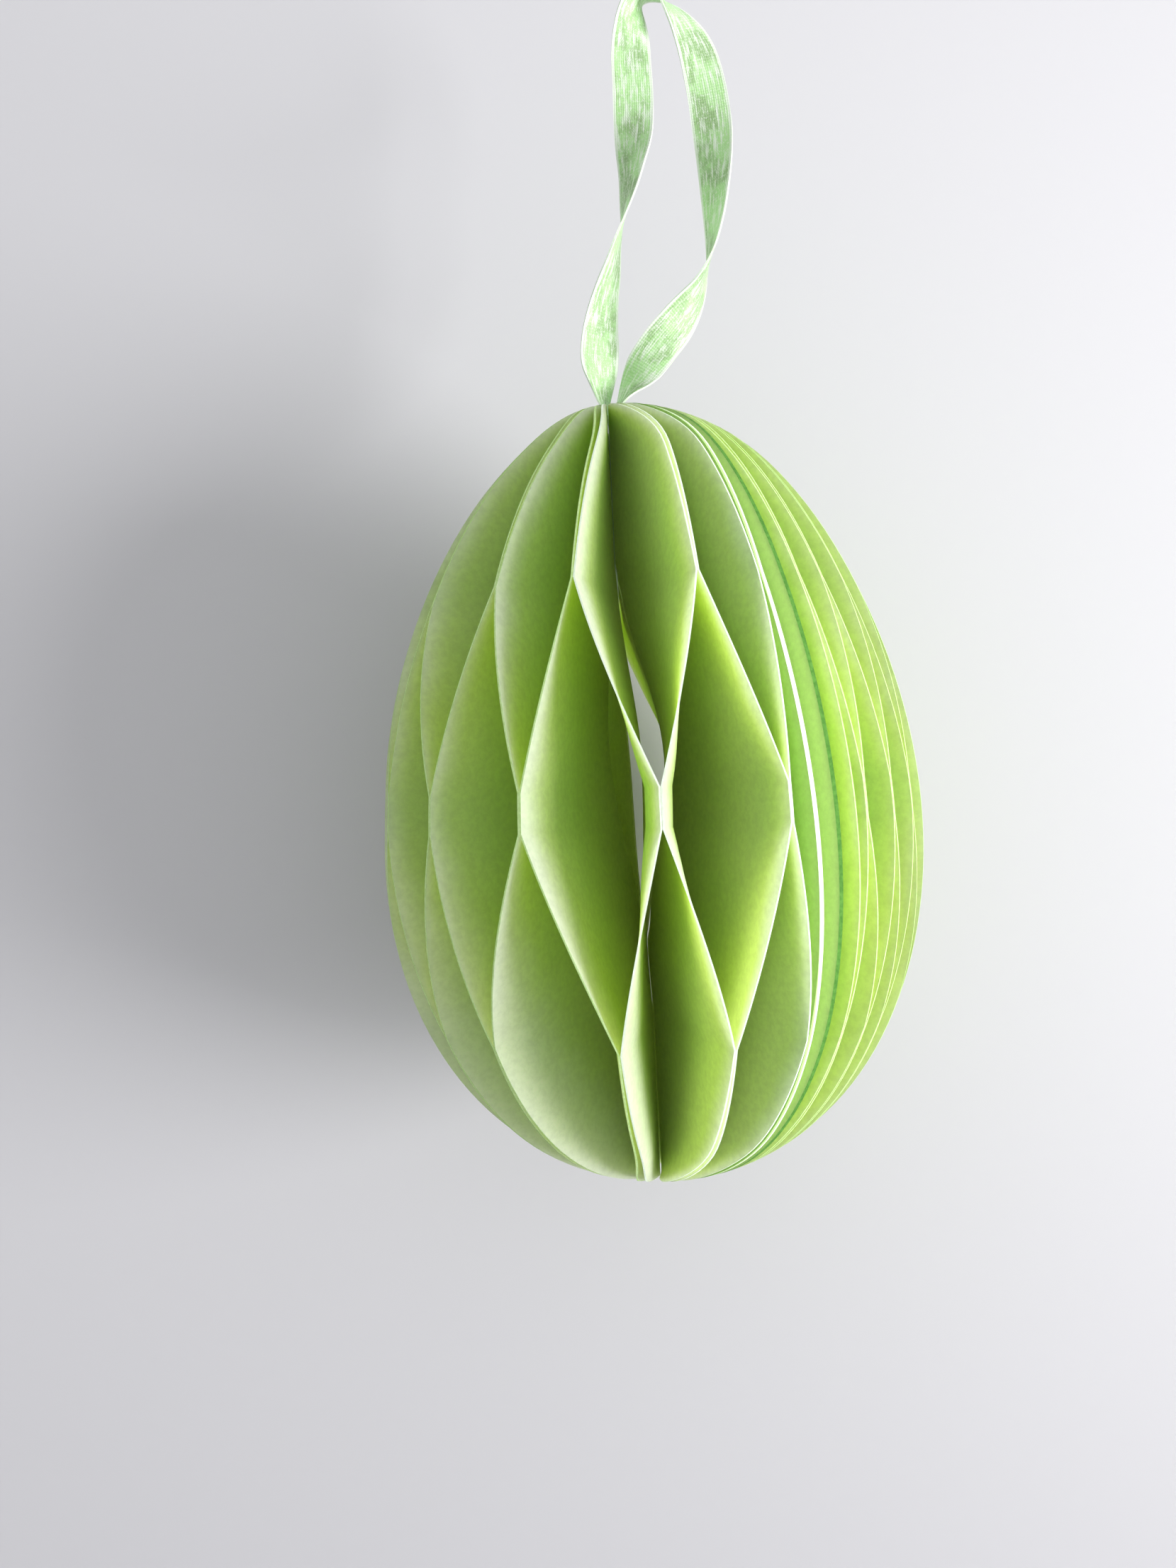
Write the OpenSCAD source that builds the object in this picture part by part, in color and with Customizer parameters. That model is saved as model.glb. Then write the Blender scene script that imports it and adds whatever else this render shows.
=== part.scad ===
// Folded paper egg, opened out from a flat stack of half-egg leaves of green card.
// The leaves stand on edge round a narrow open spine. Each is stuck to its neighbours near
// the rim: on one side by a strip at mid height, on the other by a spot above and a spot
// below it, so the stack opens into diamond cells. Two heavier covers close the ring.
// A woven ribbon runs out of the spine and back into it as a hanging loop.
// Lengths are in millimetres. +Z is up, -Y is the front, and the origin is the point
// inside the top of the ribbon loop where a hook bears.

/* [Egg] */
// Height of the egg from pole to pole
egg_h = 114; // [95:1:135]
// Radius of the egg at mid height
egg_r = 39.2; // [34:0.1:48]
// How much fuller the lower half is than the upper half
fullness = 0.127; // [0:0.001:0.2]

/* [Card] */
// Thickness of the card of each leaf
leaf_t = 0.22; // [0.2:0.01:0.35]
// Thickness of the board of the two covers
cover_t = 0.65; // [0.4:0.01:0.75]
// Gap that a spot of glue leaves between two leaves
glue_gap = 0.03; // [0.03:0.01:0.2]

/* [Glue spots] */
// Depth of the upper glue spots below the top
upper_drop = 30; // [24:0.5:36]
// Height of the lower glue spots above the bottom
lower_rise = 25; // [20:0.5:32]
// Depth of the middle of the mid-height glue strips below the top
strip_drop = 59; // [52:0.5:64]
// Length of the mid-height glue strips
strip_len = 5; // [2:0.5:9]
// Widest gap between two leaves beyond the spots that hold them together
sliver_gap = 0.45; // [0.2:0.1:1.2]

/* [Spine] */
// Gap between the inner edges of the leaves where they stand closest
spine_gap = 0.18; // [0.12:0.01:0.3]
// How far the inner edges draw back from the core at mid height
core_open = 6.3; // [4:0.1:8]
// How far the upper spine stands to the left of the egg's axis
spine_shift = 2.6; // [2.3:0.1:2.9]
// Depth of the rounded end of the egg in which the rims turn in to the spine
pole_zone = 12; // [8:0.5:16]

/* [Ribbon] */
// Height of the ribbon loop above the egg
loop_h = 62; // [61:0.5:64]
// How far the loop's top stands to the right of the egg's axis
hook_x = 5; // [4.5:0.1:5.5]
// Width of the ribbon
ribbon_w = 6; // [5:0.1:7]
// Thickness of the ribbon
ribbon_t = 0.25; // [0.15:0.01:0.3]
// Clearance between the ribbon's two ends and the leaves inside the spine
tail_gap = 0.45; // [0.3:0.05:0.8]

/* [Hidden] */
leaves = 39;
last = leaves + 1;

leaf_green = [0.56, 0.74, 0.36];
cover_green = [0.62, 0.76, 0.44];
ribbon_green = [0.72, 0.94, 0.70];

// Pieces are numbered leftwards from the left cover, 0, round the back to the right cover.
// Directions are degrees from the front, to the right, and fall as the numbers rise.
// Mid-height glue strips: the first joins leaves 1 and 2, the next 3 and 4, and so on.
strip_az = [23, -0.5, -26, -48, -68, -90, -108, -125, -142, -160,
            -195, -213, -231, -248, -268, -285, -299.5, -309.5, -319];
// Upper and lower glue spots that don't lie midway between two strips: [first piece, direction]
upper_set = [[0, 25.4], [2, 10.5], [4, -17], [6, -37], [8, -63], [20, -176], [36, -315], [38, -323.4]];
lower_set = [[0, 29.6], [2, 12.7], [4, -10.7], [6, -40], [8, -57.8], [20, -167], [36, -312], [38, -320.6]];
// Direction of the right cover above and below
right_cover_az = [-328.5, -325.8];
// How far each inner edge turns round the open core at mid height. They leave a wide gap
// at the front, between leaves 4 and 5, and one on either side of leaf 20, at the back.
core_turn = [18, 25, 31, 37, 23, 2, 1, 2, 2, 1, 1, 0, 0, 0, 0, 0, 0, 0, 0, 0,
             -24, -62, -57, -52, -47, -42, -36, -30, -24, -18, -12, -8, -5, -2, 0, 2, 4, 6, 8, 10, 12];
// Direction at which the spine's first gap, between the two covers, opens
seam_az = 27;

// Places along the height: the ends of the strips and the spots
strip_top = strip_drop - strip_len / 2;
strip_end = strip_drop + strip_len / 2;
lower_drop = egg_h - lower_rise;
// The core opens this far above the upper spots and closes this far above the lower ones
open_above = 6;
close_above = 9;
open_from = upper_drop - open_above;
open_to = lower_drop - close_above;

// The leaves' inner edges stand side by side round the closed core, which sets its radius
ring_len = leaves * (leaf_t + spine_gap) + 2 * (cover_t + spine_gap);
core_r = ring_len / (2 * PI);
ring_step = 360 * (leaf_t + spine_gap) / ring_len;
cover_step = 360 * (cover_t + spine_gap) / ring_len;
egg_x = -hook_x;
egg_top = -loop_h;
// Width of a leaf's blunt ends, and the angles from the top at which the leaves end there
tip = 0.35;
top_angle = asin((core_r + tip) / (egg_r * (1 - fullness)));
low_angle = 180 - asin((core_r + tip) / (egg_r * (1 + fullness)));

function leaf_name(i) = str("leaf_", i < 10 ? "0" : "", i);
function mix(a, b, w) = a + (b - a) * w;
function clamp(v) = min(1, max(0, v));
function is_cover(i) = i == 0 || i == last;
function piece_t(i) = is_cover(i) ? cover_t : leaf_t;

// Egg outline: depth below the top and radius at an angle from the top
function depth_at(a) = egg_h * (1 - cos(a)) / 2;
function angle_at(d) = acos(1 - 2 * d / egg_h);
function radius_at(a) = egg_r * sin(a) * (1 - fullness * cos(a));
function radius(d) = radius_at(angle_at(d));

// Direction of a piece's inner edge round the closed core
function ring_az(i) =
    i == 0 ? seam_az - cover_step / 2 :
    i == last ? seam_az - 360 + cover_step / 2 :
    seam_az - cover_step - (i - 0.5) * ring_step;

// Direction of the glue of pair p, counted from 0, for the strips and for the spots
function strip_dir(p) = strip_az[min(max(p, 0), len(strip_az) - 1)];
function set_dir(set, first, p) =
    let (hit = [for (s = set) if (s[0] == first) s[1]])
    len(hit) > 0 ? hit[0] : (strip_dir(p - 1) + strip_dir(p)) / 2;
function spot_dir(set, i) = set_dir(set, 2 * floor(i / 2), floor(i / 2));

// Which side of its pair a piece is on: 1 is the right side, -1 the left. The other piece
// of a pair held by spots has this much more as its number.
function spot_side(i) = i % 2 == 0 ? 1 : -1;
function strip_side(i) = i % 2 == 1 ? 1 : -1;
function pair_t(i, j) = (piece_t(i) + piece_t(j)) / 2 + glue_gap;
function spot_sep(i) = pair_t(i, i + spot_side(i));
function deg_of(w, d) = w / radius(d) * 180 / PI;

// Gap of a pair between its spot, at u = 1, and the pole, at u = 0
function sliver(u) = sliver_gap * sin(180 * sqrt(clamp(u)));

// Direction of a piece's rim where it runs with its pair, above the upper spots or below
// the lower ones, at depth d and u of the way from the pole to the spot
function upper_az(i, d) =
    i == last ? right_cover_az[0] :
    spot_dir(upper_set, i) + spot_side(i) * deg_of((spot_sep(i) + sliver(d / upper_drop)) / 2, d);
function lower_az(i, d) =
    i == last ? right_cover_az[1] :
    spot_dir(lower_set, i) + spot_side(i) *
        deg_of((spot_sep(i) + sliver((egg_h - d) / lower_rise)) / 2, d);

// Direction of the rim at mid height. The covers and the last leaf run straight past it.
function has_strip(i) = i > 0 && i < leaves;
function middle_az(i, d) =
    strip_dir(floor((i - 1) / 2)) + strip_side(i) * deg_of((leaf_t + glue_gap) / 2, d);

function plain_az(i, d) =
    d <= upper_drop ? upper_az(i, d) :
    d >= lower_drop ? lower_az(i, d) :
    !has_strip(i) ?
        mix(upper_az(i, upper_drop), lower_az(i, lower_drop), (d - upper_drop) / (lower_drop - upper_drop)) :
    d < strip_top ?
        mix(upper_az(i, upper_drop), middle_az(i, strip_top), (d - upper_drop) / (strip_top - upper_drop)) :
    d > strip_end ?
        mix(middle_az(i, strip_end), lower_az(i, lower_drop), (d - strip_end) / (lower_drop - strip_end)) :
    middle_az(i, d);

// How near a depth is to a pole, from 0 outside the rounded ends to 1 at a pole
function near_top(d) = pow(clamp(1 - d / pole_zone), 3);
function near_pole(d) = near_top(min(d, egg_h - d));
function rim_az(i, d) = mix(plain_az(i, d), ring_az(i), near_pole(d));

// The open core: how far the inner edges have drawn back at a depth, and how far they have
// turned, which they do sooner, both from 0 where the core is closed to 1
function open_wave(d) = sin(180 * clamp((d - open_from) / (open_to - open_from)));
function opening(d) = pow(open_wave(d), 2);
function swing(d) = pow(open_wave(d), 0.7);
function inner_r(d) = core_r + core_open * opening(d);
function inner_az(i, d) = ring_az(i) + core_turn[i] * swing(d);
function spine_x(d) = -spine_shift * clamp((lower_drop - d) / (lower_drop - upper_drop));
function rim_x(d) = spine_x(0) * near_top(d);

function around(x, r, az) = [egg_x + x + r * sin(az), -r * cos(az)];
function inner_point(i, d) = around(spine_x(d), inner_r(d), inner_az(i, d));
function rim_point(i, d) = around(rim_x(d), radius(d), rim_az(i, d));

// Depths at which a piece is cut into level lines, with a corner at each spot and strip end,
// and the number of parts along each level line
end_steps = 6;
mid_steps = 4;
function steps(a, b, n) = [for (k = [0:n - 1]) mix(a, b, k / n)];
levels = [for (a = concat(
    steps(top_angle, angle_at(upper_drop), end_steps),
    steps(angle_at(upper_drop), angle_at(strip_top), mid_steps),
    [angle_at(strip_top)],
    steps(angle_at(strip_end), angle_at(lower_drop), mid_steps),
    steps(angle_at(lower_drop), low_angle, end_steps),
    [low_angle])) depth_at(a)];
columns = 2;

// Points of one face of a piece: straight level lines from the inner edge to the rim
function face_points(i, side) = [
    for (d = levels)
        let (p = inner_point(i, d), q = rim_point(i, d),
             along = (q - p) / norm(q - p),
             off = side * piece_t(i) / 2 * [along[1], -along[0]])
        for (c = [0:columns])
            let (m = mix(p, q, c / columns) + off) [m[0], m[1], egg_top - d]];

// One half-egg leaf of card as a closed thin shell
module half_egg(i) {
    rows = len(levels);
    wide = columns + 1;
    n = rows * wide;
    points = concat(face_points(i, 1), face_points(i, -1));
    right = [for (r = [0:rows - 2]) for (c = [0:columns - 1])
        let (a = r * wide + c, b = a + 1, e = a + wide, f = e + 1) each [[a, b, f], [a, f, e]]];
    left = [for (t = right) [t[0] + n, t[2] + n, t[1] + n]];
    border = concat(
        [for (c = [0:columns - 1]) [c + 1, c]],
        [for (r = [0:rows - 2]) [r * wide, (r + 1) * wide]],
        [for (c = [0:columns - 1]) [(rows - 1) * wide + c, (rows - 1) * wide + c + 1]],
        [for (r = [0:rows - 2]) [(r + 1) * wide + columns, r * wide + columns]]);
    edge = [for (e = border) each [[e[0], e[1], e[1] + n], [e[0], e[1] + n, e[0] + n]]];
    polyhedron(points = points, faces = concat(right, left, edge));
}

// Route of the ribbon's middle line as [x, y, z, turn], where turn is how far its width
// stands away from the plane of the loop, in degrees. Both ends lie inside the spine.
route = [
    [-8.1, 0, -91, 90], [-8.1, 0, -76, 90], [-8.1, 0, -65, 90], [-8.9, 0, -60.6, 64],
    [-9.1, 0.3, -55, 24], [-8.9, 0.6, -52, 20], [-8.5, 0.8, -48.7, 35], [-7.6, 0.8, -44.6, 53],
    [-6.4, 0.6, -40.5, 69], [-5.5, 0.3, -37, 83], [-4.6, 0, -34, 95], [-3.7, -0.4, -30, 113],
    [-3, -0.8, -26, 130], [-2.5, -1, -21, 160], [-2.3, -1, -15, 180], [-2.3, -0.7, -9, 192],
    [-1.6, -0.3, -3, 228], [0.1, 0, 0.2, 268], [3.1, 0.2, -1.1, 300], [5.8, 0.4, -4.4, 325],
    [7.6, 0.5, -8.4, 345], [8.7, 0.5, -13.5, 360], [9.3, 0.3, -19, 372], [9.5, 0, -24.5, 394],
    [9.3, -0.3, -30.5, 414], [8.9, -0.5, -35.5, 430], [8, -0.5, -40.5, 448], [6.2, -0.5, -45, 472],
    [3, -0.5, -49.4, 508], [-0.2, -0.5, -53.1, 535], [-2.9, -0.3, -56.5, 560], [-5.4, 0, -59.8, 602],
    [-6.9, 0, -63, 626], [-7.1, 0, -67, 630], [-7.1, 0, -77, 630]];
// Parts of the smooth curve from each point of the route to the next
route_parts = 2;
// The ribbon's ends stand this far to each side of the spine's middle, and are gathered to fit
tail_x = 0.5;
tail_w = 2 * sqrt(pow(core_r - tail_gap, 2) - pow(tail_x + ribbon_t / 2, 2));

// Smooth curve through the route
function curve(a, b, c, d, u) =
    (2 * b + (c - a) * u + (2 * a - 5 * b + 4 * c - d) * u * u + (3 * b - a - 3 * c + d) * u * u * u) / 2;
function route_at(k) = route[min(max(k, 0), len(route) - 1)];
line = concat([for (k = [0:len(route) - 2]) for (s = [0:route_parts - 1])
    curve(route_at(k - 1), route_at(k), route_at(k + 1), route_at(k + 2), s / route_parts)],
    [route[len(route) - 1]]);

// Width of the ribbon, which spreads out over this height above the egg
gather_h = 6;
function width_at(z) = mix(tail_w, ribbon_w, clamp((z - egg_top) / gather_h));

// The four corners of the ribbon at point k of the line
function corners(k) =
    let (p = line[k], a = line[max(k - 1, 0)], b = line[min(k + 1, len(line) - 1)],
         run = [b[0] - a[0], b[1] - a[1], b[2] - a[2]], ahead = run / norm(run),
         side = [ahead[2], 0, -ahead[0]] / norm([ahead[2], ahead[0]]),
         up = cross(ahead, side), w = side * cos(p[3]) + up * sin(p[3]), t = cross(ahead, w),
         o = [p[0], p[1], p[2]], hw = w * width_at(p[2]) / 2, ht = t * ribbon_t / 2)
    [o + hw + ht, o - hw + ht, o - hw - ht, o + hw - ht];

module cover_left() {
    color(cover_green) half_egg(0);
}

module cover_right() {
    color(cover_green) half_egg(last);
}

module leaf(i) {
    color(leaf_green) half_egg(i);
}

module ribbon() {
    rings = len(line);
    points = [for (k = [0:rings - 1]) each corners(k)];
    // Front and back are split along the same diagonal, which keeps the twisted ribbon even
    sides = [for (k = [0:rings - 2]) for (c = [0:3])
        let (a = 4 * k + c, b = 4 * k + (c + 1) % 4)
        each c == 2 ? [[b, a, a + 4], [b + 4, b, a + 4]] : [[b, a, b + 4], [b + 4, a, a + 4]]];
    far = 4 * (rings - 1);
    ends = [[0, 1, 2], [0, 2, 3], [far, far + 2, far + 1], [far, far + 3, far + 2]];
    color(ribbon_green) polyhedron(points = points, faces = concat(sides, ends));
}

cover_left();
cover_right();
ribbon();
for (i = [1:leaves])
    leaf(i);
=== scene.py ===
import math

import bpy
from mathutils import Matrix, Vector


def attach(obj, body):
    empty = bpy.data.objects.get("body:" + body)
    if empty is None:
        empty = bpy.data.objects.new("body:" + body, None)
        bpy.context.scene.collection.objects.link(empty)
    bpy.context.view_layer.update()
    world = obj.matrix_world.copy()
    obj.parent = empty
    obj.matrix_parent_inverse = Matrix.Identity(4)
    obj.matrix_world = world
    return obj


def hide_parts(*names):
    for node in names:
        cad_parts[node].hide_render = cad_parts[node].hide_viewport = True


# Folded paper egg: a ring of half-egg leaves of green card, glued by turns at mid height and
# above and below it, between two covers of heavier board, on a woven ribbon. Lengths are in
# millimetres and become metres in the meshes. Directions are degrees from the front, to the right.

MM = 0.001

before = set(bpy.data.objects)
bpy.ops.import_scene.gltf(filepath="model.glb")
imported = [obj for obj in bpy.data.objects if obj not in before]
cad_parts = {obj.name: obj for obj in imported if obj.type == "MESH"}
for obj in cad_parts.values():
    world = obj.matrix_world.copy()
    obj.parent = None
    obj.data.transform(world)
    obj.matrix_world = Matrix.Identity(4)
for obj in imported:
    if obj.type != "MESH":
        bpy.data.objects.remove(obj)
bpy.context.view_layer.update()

# Egg
EGG_H = 114
EGG_R = 39.2
FULLNESS = 0.127
LOOP_H = 62
HOOK_X = 5
EGG_TOP = -LOOP_H
EGG_BOTTOM = EGG_TOP - EGG_H
EGG_X = -HOOK_X

# Card
LEAVES = 39
LAST = LEAVES + 1
LEAF_T = 0.22
COVER_T = 0.65
GLUE_GAP = 0.03
SLIVER_GAP = 0.45

# Glue spots, as depths below the top
UPPER_DROP = 30
LOWER_RISE = 25
LOWER_DROP = EGG_H - LOWER_RISE
STRIP_DROP = 59
STRIP_LEN = 5
STRIP_TOP = STRIP_DROP - STRIP_LEN / 2
STRIP_END = STRIP_DROP + STRIP_LEN / 2

# Spine
SPINE_GAP = 0.18
CORE_OPEN = 6.3
SPINE_SHIFT = 2.6
POLE_ZONE = 12
OPEN_ABOVE = 6
CLOSE_ABOVE = 9
OPEN_FROM = UPPER_DROP - OPEN_ABOVE
OPEN_TO = LOWER_DROP - CLOSE_ABOVE
SEAM_AZ = 27
# Powers of the wave by which the core opens and its inner edges turn, and of the turn of the
# rims to the spine at the poles
OPEN_POWER = 2
SWING_POWER = 0.7
POLE_POWER = 3
# Width of a leaf's blunt ends
TIP = 0.35
RING_LEN = LEAVES * (LEAF_T + SPINE_GAP) + 2 * (COVER_T + SPINE_GAP)
CORE_R = RING_LEN / (2 * math.pi)
RING_STEP = 360 * (LEAF_T + SPINE_GAP) / RING_LEN
COVER_STEP = 360 * (COVER_T + SPINE_GAP) / RING_LEN

# Directions of the glue: the strips from leaves 1 and 2 on, and the spots that don't lie
# midway between two strips, by the first piece of their pair
STRIP_AZ = (23, -0.5, -26, -48, -68, -90, -108, -125, -142, -160,
            -195, -213, -231, -248, -268, -285, -299.5, -309.5, -319)
UPPER_SET = {0: 25.4, 2: 10.5, 4: -17, 6: -37, 8: -63, 20: -176, 36: -315, 38: -323.4}
LOWER_SET = {0: 29.6, 2: 12.7, 4: -10.7, 6: -40, 8: -57.8, 20: -167, 36: -312, 38: -320.6}
RIGHT_COVER_AZ = (-328.5, -325.8)
CORE_TURN = (18, 25, 31, 37, 23, 2, 1, 2, 2, 1, 1, 0, 0, 0, 0, 0, 0, 0, 0, 0,
             -24, -62, -57, -52, -47, -42, -36, -30, -24, -18, -12, -8, -5, -2, 0, 2, 4, 6, 8, 10, 12)
# The most that a leaf bows, and a cover, and the power that sets the bow towards the rim
BOW = 1.1
COVER_BOW = 0.3
BOW_POWER = 3
# Distances from mid height within which the left cover's edge is white over its whole width,
# and past which a part of it is
WHOLE_EDGE = 16
THIN_EDGE = 34
# The pale band along the rim is a painted highlight where the light falls on the rim. It is narrower
# by LEFT_INSET on the left face of a leaf, turned from the light, and by FAR_INSET on a leaf past
# LAST_PALE, in the shade of the leaves in front. Below the height LOW_BAND it widens, to BOTTOM_BAND
# times as much at the bottom of a right face, where the light from below falls.
LEFT_INSET = 2
FAR_INSET = 1.6
LAST_PALE = 6
LOW_BAND = -120
BOTTOM_BAND = 4.8

# The leaves up to this one show a white cut edge, where it faces the light; the cut edges of the rest
# are green, a painted shade for edges turned from the light
LAST_WHITE = 4

# Rows of a leaf's mesh in its five stretches from the top down, and columns from spine to rim,
# which crowd towards the rim by this power
ROWS = (22, 14, 3, 14, 22)
COLUMNS = 12
CROWD = 1.4
# Edges that bend by more than this many degrees stay sharp
SHARP = 50

# Ribbon
RIBBON_W = 6
RIBBON_T = 0.25
TAIL_GAP = 0.45
TAIL_X = 0.5
TAIL_W = 2 * math.sqrt((CORE_R - TAIL_GAP) ** 2 - (TAIL_X + RIBBON_T / 2) ** 2)
GATHER_H = 6
# Middle line as x, y, z in metres, and the turn of the width in degrees
ROUTE = (
    (-0.0081, 0, -0.091, 90), (-0.0081, 0, -0.076, 90), (-0.0081, 0, -0.065, 90),
    (-0.0089, 0, -0.0606, 64), (-0.0091, 0.0003, -0.055, 24), (-0.0089, 0.0006, -0.052, 20),
    (-0.0085, 0.0008, -0.0487, 35), (-0.0076, 0.0008, -0.0446, 53), (-0.0064, 0.0006, -0.0405, 69),
    (-0.0055, 0.0003, -0.037, 83), (-0.0046, 0, -0.034, 95), (-0.0037, -0.0004, -0.03, 113),
    (-0.003, -0.0008, -0.026, 130), (-0.0025, -0.001, -0.021, 160), (-0.0023, -0.001, -0.015, 180),
    (-0.0023, -0.0007, -0.009, 192), (-0.0016, -0.0003, -0.003, 228), (0.0001, 0, 0.0002, 268),
    (0.0031, 0.0002, -0.0011, 300), (0.0058, 0.0004, -0.0044, 325), (0.0076, 0.0005, -0.0084, 345),
    (0.0087, 0.0005, -0.0135, 360), (0.0093, 0.0003, -0.019, 372), (0.0095, 0, -0.0245, 394),
    (0.0093, -0.0003, -0.0305, 414), (0.0089, -0.0005, -0.0355, 430), (0.008, -0.0005, -0.0405, 448),
    (0.0062, -0.0005, -0.045, 472), (0.003, -0.0005, -0.0494, 508), (-0.0002, -0.0005, -0.0531, 535),
    (-0.0029, -0.0003, -0.0565, 560), (-0.0054, 0, -0.0598, 602), (-0.0069, 0, -0.063, 626),
    (-0.0071, 0, -0.067, 630), (-0.0071, 0, -0.077, 630))
ROUTE_PARTS = 8
RIBBON_COLUMNS = 8

# Camera, as it stood for the photograph
IMAGE_H = 2212
FOCAL_PX = 1691
SENSOR = 36
CAMERA_AT = (-13.8, -179.5, -117.8)
CAMERA_ROLL = 2.68

# Card: sizes of its soft blotches and of its tooth, as parts per millimetre, the depth of the
# tooth, and the distances from the rim between which the inner tone comes in, a painted light deep in
# the cells of the leaves and a painted shade on the covers
BLOTCH = 0.06
TOOTH = 1.1
TOOTH_DEPTH = 0.03
INNER_FROM = 6
INNER_TO = 34
# The rim's band, a painted highlight, and on the right cover a painted shade, is full and gone at
# these multiples of its width, and covers these shares of the face and of the light through it
BAND_FULL = 0.65
BAND_GONE = 1.8
PAINTED_RIM_SHARE = 0.92
PAINTED_RIM_LIT_SHARE = 0.9
# Contrast of the tooth, and the span of a noise that it is taken from
FLECK = (0.93, 1.04)
NOISE_SPAN = (0.3, 0.7)
# Fibres of a cut edge, as parts per millimetre, and the share of the edge's width that stays
# light where it is thin, with the blur of that line
FIBRE = 1.6
THIN_SHARE = 0.4
EDGE_BLUR = 0.05

# Ribbon's weave: its threads and ribs are this far apart. Its streaks, dashes and patches have
# so many parts per millimetre; the length is scaled for the first two, the width for the last,
# and each comes in over its span of the noise. The streaks are warp threads with a painted sheen
# highlight along them; the patches are painted shade where the sheen is lost.
THREAD = 0.33
RIB = 0.42
RIB_DEPTH = 0.04
STREAK = 2.2
STREAK_STRETCH = 0.12
DASH = 4.5
DASH_STRETCH = 0.45
PATCH = 0.15
PATCH_STRETCH = 1.6
PATCH_SPAN = (0.44, 0.6)
DASH_SPAN = (0.54, 0.66)
DASH_SHARE = 0.7
STREAK_SPAN = (0.47, 0.66)
WEFT_SHARE = 0.04
# The selvage starts and is full at these distances from the ribbon's side
SELVAGE = (0.5, 0.25)

# Room: the direction of its palest side, and the strengths of its light from there and from
# the other side
BRIGHT_SIDE = (0.8, 0, 0.55)
BRIGHT = 1.15
DIM = 0.35


def mix(a, b, w):
    return a + (b - a) * w


def clamp(v):
    return min(1, max(0, v))


def is_cover(i):
    return i in (0, LAST)


def piece_t(i):
    return COVER_T if is_cover(i) else LEAF_T


def piece_name(i):
    if i == 0:
        return "cover_left"
    if i == LAST:
        return "cover_right"
    return f"leaf_{i:02d}"


# Egg outline: depth below the top and radius at an angle from the top
def depth_at(a):
    return EGG_H * (1 - math.cos(a)) / 2


def angle_at(d):
    return math.acos(1 - 2 * d / EGG_H)


def radius(d):
    a = angle_at(d)
    return EGG_R * math.sin(a) * (1 - FULLNESS * math.cos(a))


# Direction of a piece's inner edge round the closed core
def ring_az(i):
    if i == 0:
        return SEAM_AZ - COVER_STEP / 2
    if i == LAST:
        return SEAM_AZ - 360 + COVER_STEP / 2
    return SEAM_AZ - COVER_STEP - (i - 0.5) * RING_STEP


def strip_dir(pair):
    return STRIP_AZ[min(max(pair, 0), len(STRIP_AZ) - 1)]


def spot_dir(listed, i):
    pair = i // 2
    return listed.get(2 * pair, (strip_dir(pair - 1) + strip_dir(pair)) / 2)


# Which side of its pair a piece is on: 1 is the right side, -1 the left
def spot_side(i):
    return 1 if i % 2 == 0 else -1


def strip_side(i):
    return -spot_side(i)


def degrees_of(width, d):
    return math.degrees(width / radius(d))


# Half the gap of a pair, in degrees, from its spot, at u = 1, to the pole, at u = 0
def half_gap(i, d, u):
    apart = (piece_t(i) + piece_t(i + spot_side(i))) / 2 + GLUE_GAP
    return degrees_of((apart + SLIVER_GAP * math.sin(math.pi * math.sqrt(clamp(u)))) / 2, d)


def upper_az(i, d):
    if i == LAST:
        return RIGHT_COVER_AZ[0]
    return spot_dir(UPPER_SET, i) + spot_side(i) * half_gap(i, d, d / UPPER_DROP)


def lower_az(i, d):
    if i == LAST:
        return RIGHT_COVER_AZ[1]
    return spot_dir(LOWER_SET, i) + spot_side(i) * half_gap(i, d, (EGG_H - d) / LOWER_RISE)


def middle_az(i, d):
    return strip_dir((i - 1) // 2) + strip_side(i) * degrees_of((LEAF_T + GLUE_GAP) / 2, d)


# Direction of the rim before it turns in to the spine at the poles
def plain_az(i, d):
    if d <= UPPER_DROP:
        return upper_az(i, d)
    if d >= LOWER_DROP:
        return lower_az(i, d)
    upper = upper_az(i, UPPER_DROP)
    lower = lower_az(i, LOWER_DROP)
    if not 0 < i < LEAVES:
        return mix(upper, lower, (d - UPPER_DROP) / (LOWER_DROP - UPPER_DROP))
    if d < STRIP_TOP:
        return mix(upper, middle_az(i, STRIP_TOP), (d - UPPER_DROP) / (STRIP_TOP - UPPER_DROP))
    if d > STRIP_END:
        return mix(middle_az(i, STRIP_END), lower, (d - STRIP_END) / (LOWER_DROP - STRIP_END))
    return middle_az(i, d)


def near_top(d):
    return clamp(1 - d / POLE_ZONE) ** POLE_POWER


def rim_az(i, d):
    return mix(plain_az(i, d), ring_az(i), near_top(min(d, EGG_H - d)))


# The open core, from 0 where it is closed to 1: the inner edges draw back from it and turn
# round it, which they do sooner
def open_wave(d):
    return math.sin(math.pi * clamp((d - OPEN_FROM) / (OPEN_TO - OPEN_FROM)))


def spine_x(d):
    return -SPINE_SHIFT * clamp((LOWER_DROP - d) / (LOWER_DROP - UPPER_DROP))


def out_from(az):
    return Vector((math.sin(math.radians(az)), -math.cos(math.radians(az))))


def inner_point(i, d):
    wave = max(open_wave(d), 0)
    az = ring_az(i) + CORE_TURN[i] * wave ** SWING_POWER
    reach = CORE_R + CORE_OPEN * wave ** OPEN_POWER
    return Vector((EGG_X + spine_x(d), 0)) + reach * out_from(az)


def rim_point(i, d):
    return Vector((EGG_X + spine_x(0) * near_top(d), 0)) + radius(d) * out_from(rim_az(i, d))


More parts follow.
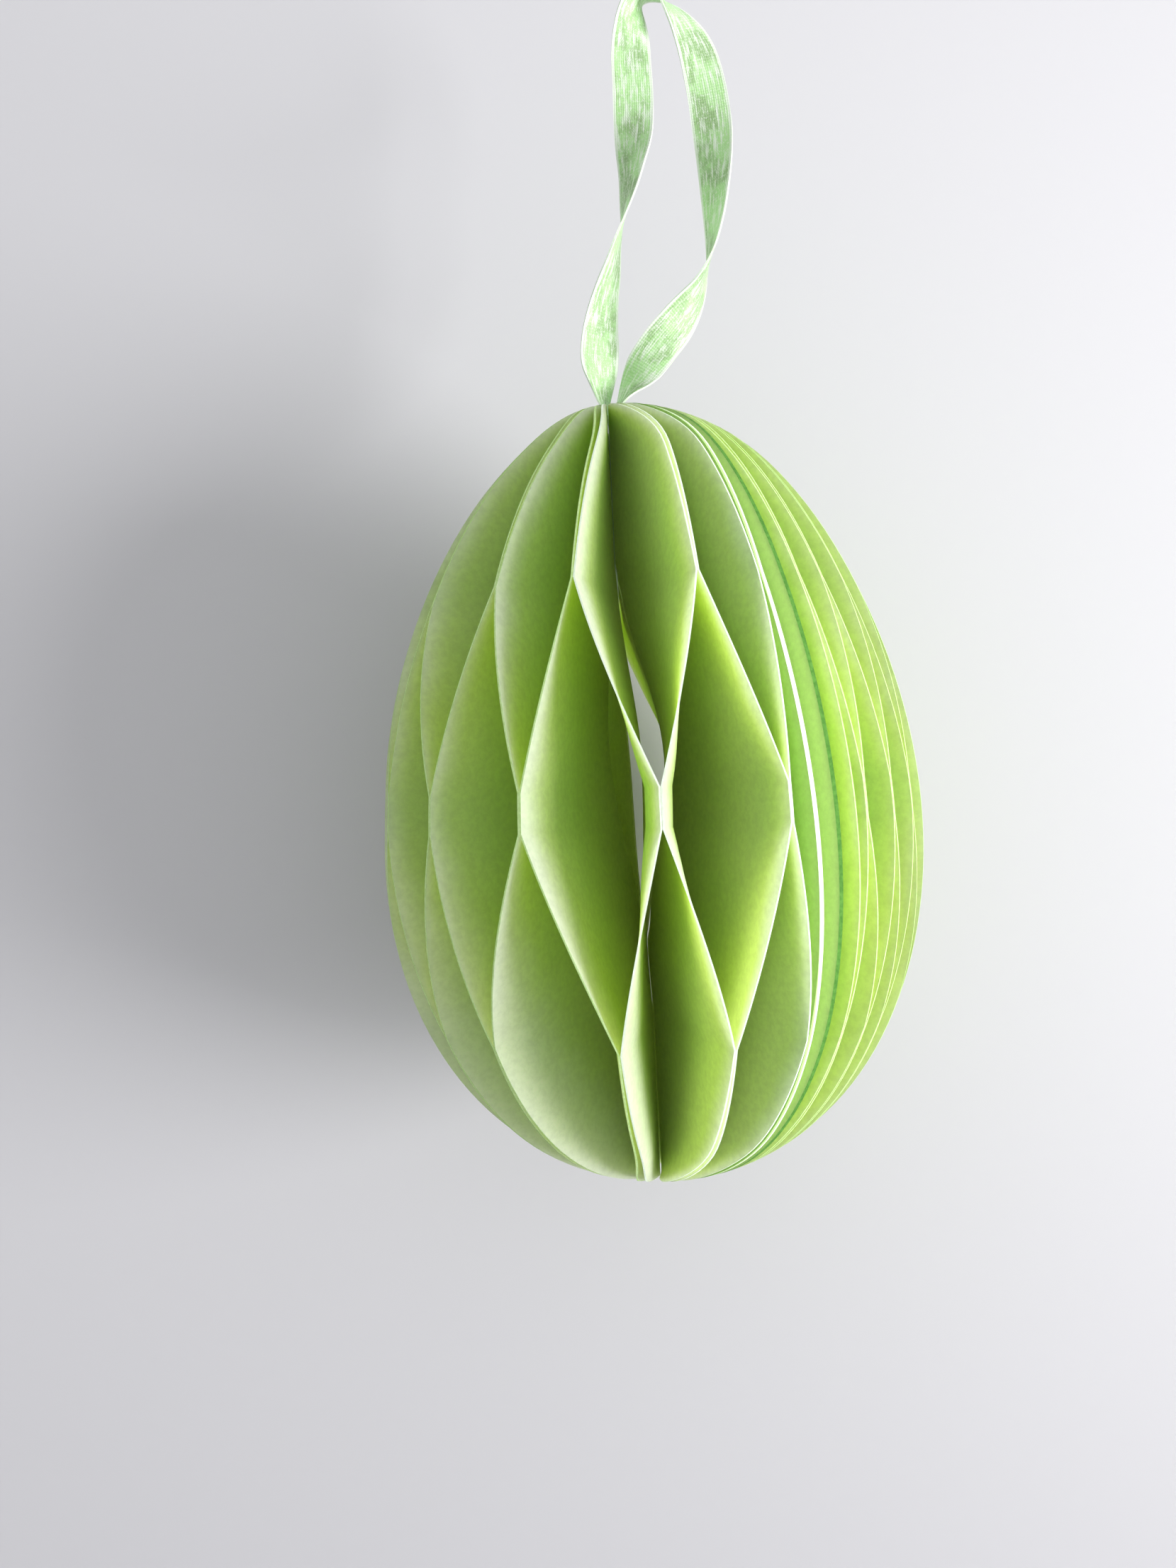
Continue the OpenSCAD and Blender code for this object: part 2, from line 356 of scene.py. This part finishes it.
# How far a leaf bows to the side of its glued pair at a depth: each leaf of a pair bows
# away from the other, so a leaf changes side between its strip and its spots
def bow(i, d):
    at_spot = spot_side(i)
    at_strip = strip_side(i) if 0 < i < LEAVES else 0
    if d < STRIP_DROP:
        share = clamp((d - UPPER_DROP) / (STRIP_TOP - UPPER_DROP))
    else:
        share = clamp((LOWER_DROP - d) / (LOWER_DROP - STRIP_END))
    share = share * share * (3 - 2 * share)
    reach = COVER_BOW if is_cover(i) else BOW
    return reach * mix(at_spot, at_strip, share) * radius(d) / EGG_R


# Share of the bow along a level line, from the inner edge, at s = 0, to the rim, at s = 1
def bow_shape(s):
    peak = BOW_POWER / (BOW_POWER + 1)
    return s ** BOW_POWER * (1 - s) / (peak ** BOW_POWER * (1 - peak))


def levels():
    top = math.asin((CORE_R + TIP) / (EGG_R * (1 - FULLNESS)))
    low = math.pi - math.asin((CORE_R + TIP) / (EGG_R * (1 + FULLNESS)))
    ends = [top, *(angle_at(d) for d in (UPPER_DROP, STRIP_TOP, STRIP_END, LOWER_DROP)), low]
    angles = [mix(a, b, k / n) for a, b, n in zip(ends, ends[1:], ROWS) for k in range(n)]
    return [depth_at(a) for a in angles + [low]]


# Points of one leaf, row by row, on its left face and then on its right one, as seen from
# outside, with each point's distance from the rim
def leaf_points(i):
    left, right, inset = [], [], []
    for d in levels():
        p = inner_point(i, d)
        q = rim_point(i, d)
        along = (q - p).normalized()
        off = Vector((along.y, -along.x)) * piece_t(i) / 2
        for c in range(COLUMNS + 1):
            s = 1 - (1 - c / COLUMNS) ** CROWD
            m = p.lerp(q, s) - off.normalized() * bow(i, d) * bow_shape(s)
            left.append((m.x + off.x, m.y + off.y, EGG_TOP - d))
            right.append((m.x - off.x, m.y - off.y, EGG_TOP - d))
            inset.append((q - m).length)
    # Past LAST_PALE the distance from the rim grows by FAR_INSET, which narrows the painted highlight
    # on leaves in the shade of those in front
    if i > LAST_PALE:
        inset = [v + FAR_INSET for v in inset]
    return left + right, inset + inset


def new_mesh(name, points, faces, scale=MM):
    mesh = bpy.data.meshes.new(name)
    mesh.from_pydata([[v * scale for v in p] for p in points], [], faces)
    mesh.validate()
    return mesh


def new_object(name, mesh):
    obj = bpy.data.objects.new(name, mesh)
    bpy.context.scene.collection.objects.link(obj)
    return obj


def half_egg(i, face, edge):
    points, inset = leaf_points(i)
    wide = COLUMNS + 1
    half = len(points) // 2
    rows = half // wide
    left = [(r * wide + c, (r + 1) * wide + c, (r + 1) * wide + c + 1, r * wide + c + 1)
            for r in range(rows - 1) for c in range(COLUMNS)]
    right = [tuple(half + v for v in reversed(q)) for q in left]
    last = (rows - 1) * wide
    border = [(c + 1, c) for c in range(COLUMNS)]
    border += [(r * wide, (r + 1) * wide) for r in range(rows - 1)]
    border += [(last + c, last + c + 1) for c in range(COLUMNS)]
    border += [((r + 1) * wide + COLUMNS, r * wide + COLUMNS) for r in range(rows - 1)]
    cut = [(b, a, a + half, b + half) for a, b in border]
    name = piece_name(i)
    mesh = new_mesh(name + "_card", points, left + right + cut)
    mesh.materials.append(face)
    mesh.materials.append(edge)
    faces = 2 * len(left)
    spine = range(faces + COLUMNS, faces + COLUMNS + rows - 1)
    for p in mesh.polygons:
        p.use_smooth = p.index < faces
        p.material_index = 0 if p.index < faces or p.index in spine else 1
    mesh.set_sharp_from_angle(angle=math.radians(SHARP))
    mesh.attributes.new("inset", "FLOAT", "POINT").data.foreach_set("value", inset)
    side = [0.0] * half + [1.0] * half
    mesh.attributes.new("side", "FLOAT", "POINT").data.foreach_set("value", side)
    obj = new_object(name + "_card", mesh)
    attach(obj, "root")
    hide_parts(name)


# Smooth curve through the ribbon's route
def curve(a, b, c, d, u):
    return [(2 * q + (r - p) * u + (2 * p - 5 * q + 4 * r - s) * u * u
             + (3 * q - p - 3 * r + s) * u ** 3) / 2 for p, q, r, s in zip(a, b, c, d)]


def ribbon_line():
    def at(k):
        return ROUTE[min(max(k, 0), len(ROUTE) - 1)]
    line = [curve(at(k - 1), at(k), at(k + 1), at(k + 2), s / ROUTE_PARTS)
            for k in range(len(ROUTE) - 1) for s in range(ROUTE_PARTS)]
    return line + [list(ROUTE[-1])]


def ribbon_width(z):
    return MM * mix(TAIL_W, RIBBON_W, clamp((z / MM - EGG_TOP) / GATHER_H))


def ribbon(face, edge):
    line = ribbon_line()
    wide = RIBBON_COLUMNS + 1
    front, back, across, along = [], [], [], []
    run = 0
    for k, (x, y, z, turn) in enumerate(line):
        here = Vector((x, y, z))
        before = Vector(line[max(k - 1, 0)][:3])
        ahead = (Vector(line[min(k + 1, len(line) - 1)][:3]) - before).normalized()
        run += (here - before).length
        side = Vector((ahead.z, 0, -ahead.x)).normalized()
        up = ahead.cross(side)
        w = side * math.cos(math.radians(turn)) + up * math.sin(math.radians(turn))
        t = ahead.cross(w) * RIBBON_T / 2 * MM
        for c in range(wide):
            share = 0.5 - c / RIBBON_COLUMNS
            p = here + w * ribbon_width(z) * share
            front.append(p + t)
            back.append(p - t)
            across.append(share * ribbon_width(z) / MM)
            along.append(run / MM)
    half = len(front)
    rows = len(line)
    quads = [(r * wide + c, r * wide + c + 1, (r + 1) * wide + c + 1, (r + 1) * wide + c)
             for r in range(rows - 1) for c in range(RIBBON_COLUMNS)]
    faces = quads + [tuple(half + v for v in reversed(q)) for q in quads]
    last = (rows - 1) * wide
    border = [(c + 1, c) for c in range(RIBBON_COLUMNS)]
    border += [(r * wide, (r + 1) * wide) for r in range(rows - 1)]
    border += [(last + c, last + c + 1) for c in range(RIBBON_COLUMNS)]
    border += [((r + 1) * wide + RIBBON_COLUMNS, r * wide + RIBBON_COLUMNS) for r in range(rows - 1)]
    cut = [(a, b, b + half, a + half) for a, b in border]
    mesh = new_mesh("ribbon_weave", front + back, faces + cut, 1)
    mesh.materials.append(face)
    mesh.materials.append(edge)
    for p in mesh.polygons:
        p.use_smooth = p.index < len(faces)
        p.material_index = 0 if p.index < len(faces) else 1
    mesh.set_sharp_from_angle(angle=math.radians(SHARP))
    mesh.attributes.new("across", "FLOAT", "POINT").data.foreach_set("value", across + across)
    mesh.attributes.new("along", "FLOAT", "POINT").data.foreach_set("value", along + along)
    obj = new_object("ribbon_weave", mesh)
    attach(obj, "root")
    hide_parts("ribbon")


class Nodes:
    """A material's node tree, built one named node at a time."""

    def __init__(self, name):
        self.material = bpy.data.materials.new(name)
        self.material.use_nodes = True
        self.tree = self.material.node_tree
        self.tree.nodes.clear()
        self.out = self.tree.nodes.new("ShaderNodeOutputMaterial")

    def add(self, kind, links=(), **values):
        node = self.tree.nodes.new("ShaderNode" + kind)
        for key, value in values.items():
            setattr(node, key, value)
        for socket, source in dict(links).items():
            self.set(node, socket, source)
        return node

    def set(self, node, socket, source):
        target = node.inputs[socket]
        if isinstance(source, bpy.types.NodeSocket):
            self.tree.links.new(source, target)
        else:
            target.default_value = source

    def noise(self, vector, scale, detail=3, roughness=0.55):
        node = self.add("TexNoise", {"Vector": vector, "Scale": scale, "Detail": detail,
                                     "Roughness": roughness})
        return node.outputs["Fac"]

    def math(self, operation, *values, clamped=False):
        node = self.add("Math", operation=operation, use_clamp=clamped)
        for k, v in enumerate(values):
            self.set(node, k, v)
        return node.outputs[0]

    def span(self, value, low, high, to_low=0, to_high=1):
        node = self.add("MapRange", {"Value": value, "From Min": low, "From Max": high,
                                     "To Min": to_low, "To Max": to_high},
                        interpolation_type="SMOOTHSTEP")
        return node.outputs["Result"]

    def blend(self, share, first, second, kind="MIX"):
        node = self.add("Mix", data_type="RGBA", blend_type=kind)
        self.set(node, 0, share)
        self.set(node, 6, first)
        self.set(node, 7, second)
        return node.outputs[2]


def srgb(code):
    def linear(v):
        return v / 12.92 if v <= 0.04045 else ((v + 0.055) / 1.055) ** 2.4
    return tuple(linear(int(code[k:k + 2], 16) / 255) for k in (0, 2, 4)) + (1,)


# Green card: a matt sheet with the tooth of paper. Along a soft band at the rim, widest at the
# bottom,
# its tone is painted light: a painted highlight on the leaves and the left cover, and a painted shade
# on the right cover's rim. Away from the rim an inner tone comes in: painted light that lifts the
# shade deep in the cells on the leaves, and a little painted shade on the covers. The light that it
# lets through is a stronger green.
def card(name, main, painted_inner_tone, painted_rim_tone, lit, painted_inner_lit, band, through, left_inset=LEFT_INSET):
    n = Nodes(name)
    place = n.add("TexCoord").outputs["Object"]
    inset = n.add("Attribute", attribute_name="inset").outputs["Fac"]
    broad = n.noise(place, BLOTCH / MM)
    grain = n.noise(place, TOOTH / MM, detail=5, roughness=0.7)
    # The inner tone, away from the rim, is painted light: paler and greener deep in the cells of the
    # leaves, a little darker painted shade on the covers
    uneven = n.math("ADD", inset, n.math("MULTIPLY", broad, INNER_FROM))
    painted_inner_share = n.span(uneven, INNER_FROM, INNER_TO)
    colour = n.blend(painted_inner_share, main, painted_inner_tone)
    # The band along the rim is painted light: a painted highlight on the leaves and the left cover,
    # and a painted shade on the right cover's rim. It widens towards the bottom of a right face, lit
    # from below, and narrows on a left face, turned from the light.
    height = n.add("SeparateXYZ", {0: place}).outputs["Z"]
    wider = n.span(height, LOW_BAND * MM, EGG_BOTTOM * MM, 1, BOTTOM_BAND)
    left = n.math("SUBTRACT", 1, n.add("Attribute", attribute_name="side").outputs["Fac"])
    wider = n.math("MAXIMUM", n.math("SUBTRACT", wider, n.math("MULTIPLY", left, BOTTOM_BAND)), 1)
    reach = n.math("ADD", n.math("DIVIDE", inset, wider), n.math("MULTIPLY", left, left_inset))
    reach = n.math("ADD", reach, n.math("MULTIPLY", broad, band))
    painted_rim_share = n.span(reach, band * BAND_FULL, band * BAND_GONE, 1, 0)
    colour = n.blend(n.math("MULTIPLY", painted_rim_share, PAINTED_RIM_SHARE), colour, painted_rim_tone)
    fleck = n.span(grain, *NOISE_SPAN, *FLECK)
    shade = n.add("CombineColor", {0: fleck, 1: fleck, 2: fleck}).outputs[0]
    colour = n.blend(1, colour, shade, "MULTIPLY")
    bump = n.add("Bump", {"Height": grain, "Distance": TOOTH_DEPTH * MM, "Strength": 0.5}).outputs[0]
    surface = n.add("BsdfPrincipled", {"Base Color": colour, "Roughness": 0.72,
                                       "Specular IOR Level": 0.3, "Normal": bump}).outputs[0]
    # The light through the card carries the same painted inner tone and painted rim band
    inner_light = n.blend(painted_inner_share, lit, painted_inner_lit)
    inner_light = n.blend(n.math("MULTIPLY", painted_rim_share, PAINTED_RIM_LIT_SHARE), inner_light, painted_rim_tone)
    inner_light = n.blend(1, inner_light, shade, "MULTIPLY")
    glow = n.add("BsdfTranslucent", {"Color": inner_light, "Normal": bump}).outputs[0]
    both = n.add("MixShader", {0: through, 1: surface, 2: glow}).outputs[0]
    n.set(n.out, "Surface", both)
    return n.material


# Cut edge of card or board, with its fibres. Where the face colour is given, the edge is
# light over its whole width at mid height only, and along its right side towards the poles.
def cut_edge(name, light, dark, face=None):
    n = Nodes(name)
    place = n.add("TexCoord").outputs["Object"]
    fibre = n.noise(place, FIBRE / MM, detail=4, roughness=0.7)
    colour = n.blend(n.span(fibre, *NOISE_SPAN), dark, light)
    if face:
        height = n.add("SeparateXYZ", {0: place}).outputs["Z"]
        middle = (EGG_TOP - EGG_H / 2) * MM
        far = n.math("ABSOLUTE", n.math("SUBTRACT", height, middle))
        width = n.span(far, WHOLE_EDGE * MM, THIN_EDGE * MM, 1, THIN_SHARE)
        side = n.add("Attribute", attribute_name="side").outputs["Fac"]
        bare = n.math("SUBTRACT", width, n.math("SUBTRACT", 1, side))
        colour = n.blend(n.span(bare, -EDGE_BLUR, EDGE_BLUR), face, colour)
    bump = n.add("Bump", {"Height": fibre, "Distance": TOOTH_DEPTH * MM, "Strength": 0.5}).outputs[0]
    surface = n.add("BsdfPrincipled", {"Base Color": colour, "Roughness": 0.85,
                                       "Specular IOR Level": 0.1, "Normal": bump})
    n.set(n.out, "Surface", surface.outputs[0])
    return n.material


# Woven ribbon: warp threads as fine lengthwise streaks, lightened by a painted sheen highlight, weft
# as small ribs across, with duller patches of painted shade where the weave lies the other way to the
# light
def weave(name, light, main, patch_shade):
    n = Nodes(name)
    across = n.add("Attribute", attribute_name="across").outputs["Fac"]
    along = n.add("Attribute", attribute_name="along").outputs["Fac"]
    place = n.add("CombineXYZ", {0: across, 1: n.math("MULTIPLY", along, STREAK_STRETCH)}).outputs[0]
    warp_sheen_streak = n.noise(place, STREAK, detail=4, roughness=0.6)
    short = n.add("CombineXYZ", {0: across, 1: n.math("MULTIPLY", along, DASH_STRETCH)}).outputs[0]
    dash = n.noise(short, DASH, detail=2, roughness=0.6)
    uneven = n.add("CombineXYZ", {0: n.math("MULTIPLY", across, PATCH_STRETCH), 1: along}).outputs[0]
    shade_patch = n.noise(uneven, PATCH, detail=3, roughness=0.6)
    threads = n.math("SINE", n.math("MULTIPLY", across, 2 * math.pi / THREAD))
    ribs = n.math("SINE", n.math("MULTIPLY", along, 2 * math.pi / RIB))
    weft = n.math("MULTIPLY", threads, ribs)
    tone = n.math("ADD", warp_sheen_streak, n.math("MULTIPLY", weft, WEFT_SHARE))
    colour = n.blend(n.span(shade_patch, *PATCH_SPAN), main, patch_shade)
    colour = n.blend(n.math("MULTIPLY", n.span(dash, *DASH_SPAN), DASH_SHARE), colour, light)
    colour = n.blend(n.span(tone, *STREAK_SPAN), colour, light)
    from_middle = n.math("ABSOLUTE", across)
    selvage = n.span(from_middle, RIBBON_W / 2 - SELVAGE[0], RIBBON_W / 2 - SELVAGE[1])
    colour = n.blend(selvage, colour, light)
    height = n.math("ADD", n.math("MULTIPLY", threads, 0.5), n.math("MULTIPLY", ribs, 0.5))
    bump = n.add("Bump", {"Height": height, "Distance": RIB_DEPTH * MM, "Strength": 0.6}).outputs[0]
    surface = n.add("BsdfPrincipled", {"Base Color": colour, "Roughness": 0.42, "Normal": bump,
                                       "Sheen Weight": 0.3, "Sheen Roughness": 0.4}).outputs[0]
    glow = n.add("BsdfTranslucent", {"Color": colour, "Normal": bump}).outputs[0]
    n.set(n.out, "Surface", n.add("MixShader", {0: 0.3, 1: surface, 2: glow}).outputs[0])
    return n.material


# Pale wall and floor. Seen from behind, they let the eye through.
def plaster(name, colour):
    n = Nodes(name)
    surface = n.add("BsdfDiffuse", {"Color": colour}).outputs[0]
    clear = n.add("BsdfTransparent").outputs[0]
    behind = n.add("NewGeometry").outputs["Backfacing"]
    eye = n.add("LightPath").outputs["Is Camera Ray"]
    unseen = n.math("MULTIPLY", behind, eye)
    n.set(n.out, "Surface", n.add("MixShader", {0: unseen, 1: surface, 2: clear}).outputs[0])
    return n.material


def plate(name, corners, material):
    obj = new_object(name, new_mesh(name, corners, [tuple(range(len(corners)))]))
    obj.data.materials.append(material)
    return obj


# Wall close behind the egg, and a floor below the view
def backdrop():
    pale = plaster("pale_plaster", srgb("cfced1"))
    wall_y = 43
    side = 420
    top = 320
    floor_z = -330
    plate("wall", [(-side, wall_y, floor_z), (side, wall_y, floor_z),
                   (side, wall_y, top), (-side, wall_y, top)], pale)
    plate("floor", [(-side, -side, floor_z), (side, -side, floor_z),
                    (side, wall_y, floor_z), (-side, wall_y, floor_z)], pale)


def lamp(name, az, elevation, distance, size, power):
    light = bpy.data.lights.new(name, "AREA")
    light.shape = "DISK"
    light.size = size * MM
    light.energy = power
    obj = bpy.data.objects.new(name, light)
    bpy.context.scene.collection.objects.link(obj)
    flat = out_from(az) * math.cos(math.radians(elevation))
    back = Vector((flat.x, flat.y, math.sin(math.radians(elevation))))
    centre = Vector((EGG_X, 0, EGG_TOP - EGG_H / 2))
    obj.location = (centre + back * distance) * MM
    obj.rotation_euler = back.to_track_quat("Z", "Y").to_euler()


# A soft window to the right, and a room that is paler on that side and above
def lights():
    lamp("window", az=62, elevation=-12, distance=900, size=590, power=12.5)
    world = bpy.data.worlds.new("pale_room")
    bpy.context.scene.world = world
    world.use_nodes = True
    tree = world.node_tree
    ground = tree.nodes["Background"]
    ground.inputs["Color"].default_value = srgb("f2f3f5")
    place = tree.nodes.new("ShaderNodeTexCoord")
    towards = tree.nodes.new("ShaderNodeVectorMath")
    towards.operation = "DOT_PRODUCT"
    towards.inputs[1].default_value = Vector(BRIGHT_SIDE).normalized()
    level = tree.nodes.new("ShaderNodeMapRange")
    level.inputs["From Min"].default_value = -1
    level.inputs["To Min"].default_value = DIM
    level.inputs["To Max"].default_value = BRIGHT
    tree.links.new(place.outputs["Generated"], towards.inputs[0])
    tree.links.new(towards.outputs["Value"], level.inputs["Value"])
    tree.links.new(level.outputs["Result"], ground.inputs["Strength"])


def camera():
    data = bpy.data.cameras.new("camera")
    data.sensor_width = SENSOR
    data.lens = SENSOR * FOCAL_PX / IMAGE_H
    data.clip_start = MM
    obj = bpy.data.objects.new("camera", data)
    obj.location = Vector(CAMERA_AT) * MM
    obj.rotation_euler = (math.radians(90), math.radians(CAMERA_ROLL), 0)
    bpy.context.scene.collection.objects.link(obj)
    bpy.context.scene.camera = obj


camera()
# The ribbon's palest tone serves its selvages, its weft dashes and the painted sheen highlight of its
# streaks; its dullest tone is the painted shade of its patches
ribbon(weave("ribbon_weave", srgb("f6fff0"), srgb("c6efae"), srgb("a8cb90")),
       cut_edge("ribbon_edge", srgb("f4fff0"), srgb("dff5d2")))

# On the leaves the rim band is a near-white painted highlight; on the left cover it is a paler
# painted highlight
leaf_face = card("leaf_card", srgb("e9eaba"), srgb("eefab8"), srgb("fdfffa"),
                 srgb("e3fb82"), srgb("f6ffb6"), band=4.2, through=0.65)
cover_face = card("cover_board", srgb("cdeaa0"), srgb("c4e890"), srgb("dcf4c0"),
                  srgb("d4f57a"), srgb("e4fa9c"), band=1, through=0.4)
# The right cover's narrow rim band is a dark green painted shade, for the narrow gap in shadow beside
# its rim
gap_shade_face = card("painted_gap_shade_board", srgb("ddf2bc"), srgb("d8f0b0"), srgb("6b9c48"),
                     srgb("ecfcbe"), srgb("f0fdc4"), band=0.3, through=0.55, left_inset=0)
white_edge = cut_edge("white_cut", srgb("f4fff0"), srgb("e6f8d8"))
# Cut edges of the leaves past the first few are green, a painted shade for edges turned from the
# light
shaded_edge = cut_edge("painted_shade_cut", srgb("d4f2ac"), srgb("bce08c"))
cover_edge = cut_edge("cover_cut", srgb("f8fff4"), srgb("eefbe4"), srgb("b9e08e"))
# The right cover's dark green cut edge is painted shade of that gap too
gap_shade_edge = cut_edge("painted_gap_shade_cut", srgb("5f9440"), srgb("46782f"))
for index in range(LAST + 1):
    if index == LAST:
        half_egg(index, gap_shade_face, gap_shade_edge)
    elif index == 0:
        half_egg(index, cover_face, cover_edge)
    elif index <= LAST_WHITE:
        half_egg(index, leaf_face, white_edge)
    else:
        half_egg(index, leaf_face, shaded_edge)

backdrop()
lights()
bpy.context.scene.view_settings.view_transform = "Standard"
